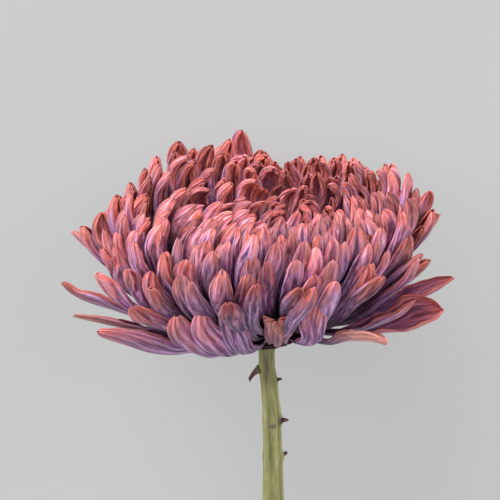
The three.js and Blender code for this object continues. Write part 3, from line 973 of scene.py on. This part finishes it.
def grownMesh(name, tree, values):
    # runs the tree once and keeps the result as a plain mesh
    seedMesh = bpy.data.meshes.new(name + "Seed")
    carrier = bpy.data.objects.new(name + "Seed", seedMesh)
    scene.collection.objects.link(carrier)
    modifier = carrier.modifiers.new("grow", "NODES")
    modifier.node_group = tree
    sockets = {item.name: item.identifier for item in tree.interface.items_tree if item.in_out == "INPUT"}
    for key, value in values.items():
        modifier[sockets[key]] = value
    bpy.context.view_layer.update()
    evaluated = carrier.evaluated_get(bpy.context.evaluated_depsgraph_get())
    result = bpy.data.meshes.new_from_object(evaluated)
    carrier.modifiers.clear()
    bpy.data.objects.remove(carrier)
    bpy.data.meshes.remove(seedMesh)
    result.name = name
    return result


def lieDown(mesh, soft=True):
    co = np.zeros(len(mesh.vertices) * 3, np.float32)
    mesh.vertices.foreach_get("co", co)
    placed = settle(co.reshape(-1, 3), soft)
    mesh.vertices.foreach_set("co", placed.astype(np.float32).reshape(-1))
    mesh.update()


def addPiece(name, mesh, slot, *nodes, soft=True, material=None):
    if material is not None and not mesh.materials:
        mesh.materials.append(material)
    lieDown(mesh, soft)
    piece = bpy.data.objects.new(name, mesh)
    scene.collection.objects.link(piece)
    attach(piece, "root")
    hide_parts(*nodes)
    return piece


def dropStore(store):
    for item in list(store.objects):
        bpy.data.objects.remove(item)
    bpy.data.collections.remove(store)


shapes = makeSpiralShapes()
spiralTree = makeSpiralTree()


def spiralFlorets(name, first, step, count):
    return grownMesh(name, spiralTree, {
        "First": first, "Step": step, "Count": count,
        "Per shape": spiral["perShape"],
        "Azimuth jitter": radians(spiralJitter["azimuth"]),
        "Lean jitter": radians(spiralJitter["lean"]),
        "Size jitter": spiralJitter["size"],
        "Seed": seeds["spiralTree"],
        "Shapes": shapes,
        "Skin": floretSkin,
    })


addPiece("centreFlorets", spiralFlorets("centreFlorets", 0, 1, spiral["rows"]), "floret", "centre_florets")
for row in range(spiral["rows"]):
    first = row + spiral["rows"]
    count = len(range(first, spiral["count"], spiral["rows"]))
    name = f"floretRow{row + 1:02d}"
    addPiece(name, spiralFlorets(name, first, spiral["rows"], count), "floret", f"floret_row_{row + 1:02d}")
dropStore(shapes)

print("5 the skirt of outermost florets")

# phi, rho and reach as in the solids; the rest is each floret's own look
skirt = [
    {"phi": 2, "rho": 1.18, "reach": 1.07, "halfWidth": 4.0, "wrap": 104, "curl": 14, "twist": 10,
     "widestAt": 20, "blunt": 2.2},
    {"phi": 17, "rho": 1.05, "reach": 1.06, "halfWidth": 3.6, "wrap": 80, "curl": 20, "blush": 0.8},
    {"phi": 31, "rho": 1.13, "reach": 0.97, "halfWidth": 3.4, "wrap": 95, "curl": 30},
    {"phi": 44, "rho": 1.08, "reach": 0.99, "halfWidth": 3.3, "wrap": 100, "curl": 30},
    {"phi": 57, "rho": 1.15, "reach": 0.95, "halfWidth": 3.6, "wrap": 84, "curl": 25},
    {"phi": 71, "rho": 1.19, "reach": 0.99, "halfWidth": 3.4, "wrap": 82, "curl": 15},
    {"phi": 90, "rho": 1.09, "reach": 0.99, "halfWidth": 3.4, "wrap": 98, "curl": 25},
    {"phi": 109, "rho": 1.19, "reach": 0.99, "halfWidth": 3.4, "wrap": 80, "curl": 15},
    {"phi": 124, "rho": 1.14, "reach": 0.95, "halfWidth": 3.5, "wrap": 90, "curl": 35},
    {"phi": 139, "rho": 1.09, "reach": 0.99, "halfWidth": 3.3, "wrap": 96, "curl": 25},
    {"phi": 154, "rho": 1.13, "reach": 0.98, "halfWidth": 3.4, "wrap": 92, "curl": 30},
    {"phi": 169, "rho": 1.05, "reach": 1.06, "halfWidth": 4.0, "wrap": 88, "curl": -5, "twist": 30,
     "blush": 0.5},
    {"phi": 184, "rho": 1.17, "reach": 1.05, "halfWidth": 4.8, "wrap": 105, "curl": 30, "twist": 38,
     "widestAt": 20},
    {"phi": 196, "rho": 1.19, "reach": 1.00, "halfWidth": 3.4, "wrap": 135, "curl": 0, "twist": 35,
     "widestAt": 22, "blush": 0.7},
    {"phi": 209, "rho": 1.21, "reach": 0.91, "halfWidth": 6.4, "wrap": 125, "curl": 10, "twist": 55,
     "widestAt": 24, "depth": 0.9, "blunt": 1.5, "belly": -6},
    {"phi": 223, "rho": 1.06, "reach": 0.94, "halfWidth": 5.2, "wrap": 110, "curl": 15, "twist": 34,
     "widestAt": 20},
    # low boat-shaped florets in front
    {"phi": 237, "rho": 1.13, "reach": 0.84, "halfWidth": 5.9, "wrap": 120, "curl": 15, "twist": 30,
     "widestAt": 24, "depth": 1.0, "belly": -3, "waist": 1.1, "droop": -0.09},
    {"phi": 252, "rho": 1.11, "reach": 0.82, "halfWidth": 5.4, "wrap": 105, "curl": 30, "twist": 25,
     "widestAt": 20, "lean": -5, "belly": -10, "waist": 1.0, "droop": -0.10},
    {"phi": 262, "rho": 1.12, "reach": 0.78, "halfWidth": 4.4, "wrap": 96, "curl": 25, "twist": 14,
     "widestAt": 14, "lean": -5, "belly": -14, "waist": 0.6, "droop": -0.20},
    # a torn stub above the stem
    {"phi": 279, "rho": 1.11, "reach": 0.64, "halfWidth": 5.8, "wrap": 76, "curl": -34, "teeth": 1.5,
     "widestAt": 6, "furrow": 1.5, "blunt": 5.0, "belly": 2, "waist": 0.7, "droop": -0.21, "ruffle": 0.7,
     "blush": 0.3},
    {"phi": 296, "rho": 1.10, "reach": 0.86, "halfWidth": 5.0, "wrap": 104, "curl": 30, "widestAt": 16,
     "belly": -12, "droop": -0.16},
    # a dry one that bends down, and a broad spoon beside it
    {"phi": 315, "rho": 1.16, "reach": 1.00, "halfWidth": 4.6, "wrap": 66, "curl": -24, "twist": -30,
     "widestAt": 14, "blush": 1.0},
    {"phi": 329, "rho": 1.12, "reach": 0.96, "halfWidth": 4.0, "wrap": 104, "curl": 25, "widestAt": 13},
    {"phi": 344, "rho": 1.19, "reach": 1.02, "halfWidth": 6.6, "wrap": 74, "curl": 12, "twist": 42,
     "widestAt": 17, "blunt": 3.4, "waist": 2.0, "ruffle": 0.6},
]
skirtCommon = {"acrossFaces": 18, "alongFaces": 36, "depth": 0.75, "furrow": 0.45, "ruffle": 0.4,
               "curlLength": 11, "widestAt": 10}
skirtRing = 1.1            # beyond the last spiral row, which is 1

for number, own in enumerate(skirt, 1):
    rng = np.random.default_rng(seeds["skirt"] + number)
    chance = {"twist": rng.normal(0, 10), "lean": rng.normal(0, 1.5), "belly": rng.uniform(0, 10)}
    shape = {"seed": seeds["skirtBlade"] + number, **skirtCommon, **chance, **own}
    name = f"skirtFloret{number:02d}"
    tint, tone = rng.uniform(0, 1), rng.uniform(0.2, 0.9)
    extra = {"tint": tint, "tone": tone, "ring": skirtRing, "blush": own.get("blush", 0)}
    mesh = floretBlade(name, shape, extra)
    mesh.transform(Matrix.Rotation(radians(own["phi"]), 4, "Z"))
    addPiece(name, mesh, "skirt", f"skirt_floret_{number:02d}", material=floretSkin)

print("6 stem")

stemShape = {
    "sides": 44,
    "step": 1.1,
    "ribs": 6,
    "ribHeight": 0.045,
    "ribTwist": 0.55,      # turns over the stem's length
    "unevenness": 0.02,
    "smoothTop": -6.0,     # the ribs fade out from this height to the top
    "weld": 1e-5,
    "rings": [
        # height, drift to the right and back, radius
        (-150, 4.6, 1.6, 3.75), (-127, 4.4, 0.9, 3.70), (-124, 4.3, 0.8, 3.95), (-121, 4.2, 0.6, 3.70),
        (-97, 3.4, -0.4, 3.70), (-94, 3.3, -0.5, 3.95), (-91, 3.2, -0.6, 3.68), (-69, 2.7, -0.4, 3.66),
        (-66, 2.6, -0.3, 3.90), (-63, 2.6, -0.2, 3.62), (-47, 2.4, 0.0, 3.25), (-43, 2.3, 0.0, 3.40),
        (-39, 2.2, 0.0, 3.10), (-32, 2.1, 0.0, 3.05), (-29, 2.0, 0.0, 3.25), (-25, 1.9, 0.0, 3.00),
        (-18, 1.3, 0.0, 2.85), (-12, 0.6, 0.0, 2.70), (-8, 0.3, 0.0, 2.60), (-3, 0.1, 0.0, 2.70),
        (0.4, 0.0, 0.0, 3.9),
    ],
    "cutEnd": [
        # share of the radius, and how far that ring is sunk into the cut
        (0.0, 0.5), (0.3, 0.45), (0.62, 0.2), (0.86, 0.0), (0.97, 0.0),
    ],
    "scars": [
        # height, azimuth, size of the swelling, how dark the scar is
        (-9.5, 186, 0.5, 0.5), (-13.5, 350, 0.45, 0.3), (-28.5, 335, 0.7, 0.6), (-30.0, 275, 0.35, 0.95),
        (-43.0, 12, 0.7, 0.4), (-65.5, 208, 0.8, 0.7), (-93.5, 350, 0.8, 0.7), (-123.5, 196, 0.8, 0.7),
    ],
    "scarReach": {"swellHeight": 1.8, "swellAngle": 0.5, "darkHeight": 0.9, "darkAngle": 0.36, "up": 0.6},
    "streak": {"height": -7.5, "azimuth": 268, "reach": 5.0, "angle": 0.22, "sway": 0.05, "dark": 0.95},
    # the receptacle's dark purple is painted shade
    "receptacleShade": 0.95,
}


def stemTrack(z):
    rings = np.array(stemShape["rings"])
    return [np.interp(z, rings[:, 0], rings[:, k]) for k in (1, 2, 3)]


def awayFrom(theta, azimuth):
    # signed angle around the stem, in radians
    return (theta - radians(azimuth) + math.pi) % (2 * math.pi) - math.pi


def hump(height, reach, off, angle):
    return np.exp(-(height / reach) ** 2 - (off / angle) ** 2)


def tubeFaces(rows, sides):
    index = np.arange(rows * sides).reshape(rows, sides)
    following = np.roll(index, -1, axis=1)
    return np.stack([index[:-1], following[:-1], following[1:], index[1:]], -1).reshape(-1, 4)


def faceOutward(mesh, weld=None):
    work = bmesh.new()
    work.from_mesh(mesh)
    if weld:
        bmesh.ops.remove_doubles(work, verts=work.verts, dist=weld)
    bmesh.ops.recalc_face_normals(work, faces=work.faces)
    work.to_mesh(mesh)
    work.free()
    mesh.shade_smooth()


def keepValues(mesh, name, values):
    layer = mesh.attributes.new(name, "FLOAT", "POINT")
    layer.data.foreach_set("value", np.concatenate(values).astype(np.float32))


def stemRing(z, v, theta, phase):
    # one ring of the rind: its points, how proud each stands on a rib, and how dark it is
    shape, reach = stemShape, stemShape["scarReach"]
    x, y, radius = stemTrack(z)
    fade = smoothStep(np.array(z), 0.0, shape["smoothTop"])
    ribs = np.cos(shape["ribs"] * theta + 2 * math.pi * shape["ribTwist"] * v + phase[0])
    ribs = ribs + 0.5 * np.cos((shape["ribs"] * 2 + 1) * theta + phase[1] + 3 * v)
    rough = np.sin(3 * theta + z * 0.21 + phase[2]) * np.sin(z * 0.33 + phase[3])
    r = radius * (1 + fade * (shape["ribHeight"] * ribs + shape["unevenness"] * rough))
    dark = np.zeros(len(theta))
    for height, azimuth, swelling, shade in shape["scars"]:
        off = awayFrom(theta, azimuth)
        r = r + swelling * hump(z - height, reach["swellHeight"], off, reach["swellAngle"])
        scar = hump(z - height - reach["up"], reach["darkHeight"], off, reach["darkAngle"])
        dark = np.maximum(dark, shade * scar)
    streak = shape["streak"]
    off = awayFrom(theta, streak["azimuth"]) + streak["sway"] * math.sin(z)
    stained = hump(z - streak["height"], streak["reach"], off, streak["angle"])
    dark = np.maximum(dark, streak["dark"] * stained)
    points = np.stack([x + r * np.cos(theta), y + r * np.sin(theta), np.full(len(theta), z)], -1)
    return points, np.clip(ribs * 0.33 + 0.5, 0, 1), dark


def makeStem():
    shape = stemShape
    sides = shape["sides"]
    low, neck = shape["rings"][0][0], shape["rings"][-1][0]
    theta = np.linspace(0, 2 * math.pi, sides, endpoint=False)
    phase = np.random.default_rng(seeds["stem"]).uniform(0, 2 * math.pi, 6)
    rows, around, along, rib, stain, cut = [], [], [], [], [], []

    def addRow(points, v, ribs, stainsAndShade, cuts):
        rows.append(points)
        around.append(theta / (2 * math.pi))
        along.append(np.full(sides, v))
        rib.append(ribs * np.ones(sides))
        stain.append(stainsAndShade * np.ones(sides))
        cut.append(cuts * np.ones(sides))

    def circle(x, y, radius, z):
        return np.stack([x + radius * np.cos(theta), y + radius * np.sin(theta), np.full(sides, z)], -1)

    x, y, radius = stemTrack(low)
    for share, dip in shape["cutEnd"]:
        addRow(circle(x, y, share * radius, low + dip), 0.0, 0.5, 0.0, 1.0)
    for z in np.linspace(low, neck, int((neck - low) / shape["step"])):
        v = (z - low) / (neck - low)
        points, ribs, dark = stemRing(z, v, theta, phase)
        addRow(points, v, ribs, dark, 0.0)
    # the receptacle closes the top; its dark purple is painted shade for the deep gap among the florets'
    # feet
    gap, dark = receptacle["gap"], shape["receptacleShade"]
    for rho in np.arange(1.3, 0.1, -0.15):
        radius, z = footOfCurve(rho)
        addRow(circle(0, 0, radius - gap, z - gap), 1.0, 0.5, dark, 0.0)
    addRow(circle(0, 0, 0, footOfCurve(0.0)[1] - gap), 1.0, 0.5, dark, 0.0)

    faces = tubeFaces(len(rows), sides)
    mesh = bpy.data.meshes.new("stem")
    mesh.from_pydata(np.concatenate(rows).tolist(), [], faces.tolist())
    uvs = np.stack([np.concatenate(around), np.concatenate(along)], -1)[faces]
    uvs[..., 0] += (uvs[..., 0] < 0.25) & (uvs[..., 0].max(axis=1, keepdims=True) > 0.75)
    mesh.uv_layers.new(name="stemMap").data.foreach_set("uv", uvs.astype(np.float32).reshape(-1))
    keepValues(mesh, "rib", rib)
    keepValues(mesh, "stain", stain)
    keepValues(mesh, "cut", cut)
    faceOutward(mesh, shape["weld"])
    addPiece("stem", mesh, "stem", "stem", soft=False, material=stemRind)


makeStem()

print("7 leaf stubs and bud scars")

stubs = [
    # where each stub leaves the stem, the way it points, its size and how far it curls
    {"node": "leaf_stub_upper", "z": -9.5, "side": 186, "rise": -25, "length": 4.8, "radius": 1.45,
     "curl": 2.2},
    {"node": "bud_scar_upper", "z": -13.5, "side": 350, "rise": 20, "length": 1.9, "radius": 0.9,
     "curl": 0.2},
    {"node": "leaf_stub_second", "z": -28.5, "side": 335, "rise": 25, "length": 2.7, "radius": 1.25,
     "curl": 0.3},
    {"node": "leaf_stub_third", "z": -43.0, "side": 12, "rise": 30, "length": 1.9, "radius": 1.2,
     "curl": 0.1},
    {"node": "leaf_stub_fourth", "z": -65.5, "side": 208, "rise": 35, "length": 2.6, "radius": 1.35,
     "curl": 0.3},
    {"node": "leaf_stub_fifth", "z": -93.5, "side": 350, "rise": 35, "length": 2.8, "radius": 1.35,
     "curl": -0.2},
    {"node": "leaf_stub_sixth", "z": -123.5, "side": 196, "rise": 35, "length": 2.4, "radius": 1.35,
     "curl": 0.2},
]
stubForm = {
    "sides": 18,
    "rings": 14,
    "sunk": 0.15,          # its root is this far inside the rind
    "rootWidth": 1.15,     # beside its radius
    "narrowing": 0.62,
    "collar": 0.25,        # a swelling just outside the root
    "flatness": 0.75,
    "fold": 0.28,
    "flutes": 0.10,
    "ragged": 0.35,
    "hollow": 0.35,        # the torn end is sunk
    "greenFade": 2.2,      # how quickly the root's green fades along it
}


def makeStub(own):
    form = stubForm
    sides, rings = form["sides"], form["rings"]
    rng = np.random.default_rng(int(own["length"] * 100))
    x, y, radius = stemTrack(own["z"])
    phi, rise = radians(own["side"]), radians(own["rise"])
    out = np.array([math.cos(phi), math.sin(phi), 0.0])
    across = np.array([-out[1], out[0], 0.0])
    way = out * math.cos(rise) + np.array([0, 0, math.sin(rise)])
    over = np.cross(across, way)
    root = np.array([x, y, own["z"]]) + out * (radius - form["sunk"])
    theta = np.linspace(0, 2 * math.pi, sides, endpoint=False)
    phase = rng.uniform(0, 2 * math.pi, 3)
    points, rootward = [], []
    for t in np.linspace(0, 1, rings):
        collar = 1 + form["collar"] * math.exp(-((t - 0.1) / 0.1) ** 2)
        size = own["radius"] * (form["rootWidth"] - form["narrowing"] * t ** 0.8) * collar
        fold = 1 - form["fold"] * t * np.maximum(0, np.cos(theta - phase[0]))
        size = size * (fold + form["flutes"] * np.sin(4 * theta + phase[1]) * t)
        ragged = form["ragged"] * np.sin(3 * theta + phase[2]) * t ** 3
        centre = root + way * (t * own["length"]) + over * (own["curl"] * t ** 2)
        sideways = across * (size * np.cos(theta))[:, None]
        upward = over * (form["flatness"] * size * np.sin(theta))[:, None]
        points.append(centre + sideways - upward + way * ragged[:, None])
        rootward.append(np.full(sides, max(0.0, 1 - t * form["greenFade"])))
    first, last = sides * rings, sides * rings + 1
    ends = [points[0].mean(0), points[-1].mean(0) - way * form["hollow"]]
    faces = tubeFaces(rings, sides).tolist()
    for i in range(sides):
        faces.append((first, (i + 1) % sides, i))
    for i in range(sides):
        faces.append((last, first - sides + i, first - sides + (i + 1) % sides))
    mesh = bpy.data.meshes.new(own["node"])
    mesh.from_pydata(np.concatenate(points + [np.array(ends)]).tolist(), [], faces)
    keepValues(mesh, "rootward", rootward + [np.array([1.0, 0.0])])
    faceOutward(mesh)
    head, *rest = own["node"].split("_")
    name = head + "".join(word.title() for word in rest)
    addPiece(name, mesh, "stub", own["node"], soft=False, material=driedStub)


for own in stubs:
    makeStub(own)

print("8 bracts")

bracts = {
    "count": 13,
    "shapes": 4,
    "acrossFaces": 6,
    "alongFaces": 12,
    "thickness": 0.22,
    "rimThickness": 0.14,
    "cup": 0.22,
    "curlAtRim": 0.12,
    "jitter": {"azimuth": 2.0, "lean": 1.5, "size": 0.02},
    "inner": {"node": "bract_ring_inner", "halfWidth": 1.95, "turn": 0.0,
              "line": ((6.4, 3.0), (9.4, 2.6), (10.8, 2.7), (12.1, 3.2))},
    "outer": {"node": "bract_ring_outer", "halfWidth": 1.6, "turn": 0.5,
              "line": ((4.5, 1.2), (6.9, 0.9), (8.2, 1.0), (9.5, 1.6))},
}


def bractLine(ring, t):
    # radius and height, from the ring's few points, rounded off
    line = np.array(ring["line"])
    knots = np.linspace(0, 1, len(line))
    kernel = np.array([0.25, 0.5, 0.25])
    found = []
    for column in (0, 1):
        values = np.interp(t, knots, line[:, column])
        for _ in range(3):
            values[1:-1] = np.convolve(values, kernel, "valid")
        found.append(values)
    return found


def bractBlade(name, ring, seed):
    rng = np.random.default_rng(seed)
    a = np.linspace(-1, 1, bracts["acrossFaces"] + 1)[None, :]
    t = np.linspace(0, 1, bracts["alongFaces"] + 1)[:, None]
    r, z = bractLine(ring, t[:, 0])
    centre = np.stack([r, np.zeros_like(r), z], -1)
    width = ring["halfWidth"] * (0.72 + 0.5 * np.sin(math.pi * np.minimum(t * 1.3, 1) * 0.62))
    width = width * np.maximum(1 - t ** 3.2, 0.04) * rng.uniform(0.9, 1.1)
    drop = bracts["cup"] * (1 - a ** 2) + bracts["curlAtRim"] * np.sin(5 * t + seed) * a ** 2
    section = np.stack([np.zeros_like(drop), width * a, -drop + rng.normal(0, 0.05)], -1)
    points = centre[:, None, :] + section
    normals = gridNormals(points)
    if normals[..., 2].sum() > 0:
        points, normals, a = points[:, ::-1], -normals[:, ::-1], a[:, ::-1]
    thick = bracts["rimThickness"] + bracts["thickness"] * (1 - a ** 2) * (1 - t ** 2)
    return meshFromGrid(name, points, points - normals * thick[..., None], (a + 1) / 2, t, {})


def makeBractRing(key):
    ring = bracts[key]
    store = bpy.data.collections.new(key + "Bracts")
    scene.collection.children.link(store)
    for k in range(bracts["shapes"]):
        mesh = bractBlade(f"{key}Bract{k}", ring, seeds["bract"] + k)
        store.objects.link(bpy.data.objects.new(f"{key}Bract{k}", mesh))
    turn = 2 * math.pi / bracts["count"]
    mesh = grownMesh(key + "BractRing", spiralTree, {
        "First": 0, "Step": 1, "Count": bracts["count"], "Turn": turn, "Per shape": 1,
        "Azimuth jitter": radians(bracts["jitter"]["azimuth"]),
        "Lean jitter": radians(bracts["jitter"]["lean"]),
        "Size jitter": bracts["jitter"]["size"],
        "Seed": seeds["bractTree"],
        "Shapes": store,
        "Skin": bractLeaf,
    })
    mesh.transform(Matrix.Rotation(turn * ring["turn"], 4, "Z"))
    addPiece(key + "BractRing", mesh, "bract", ring["node"])
    dropStore(store)


makeBractRing("inner")
makeBractRing("outer")
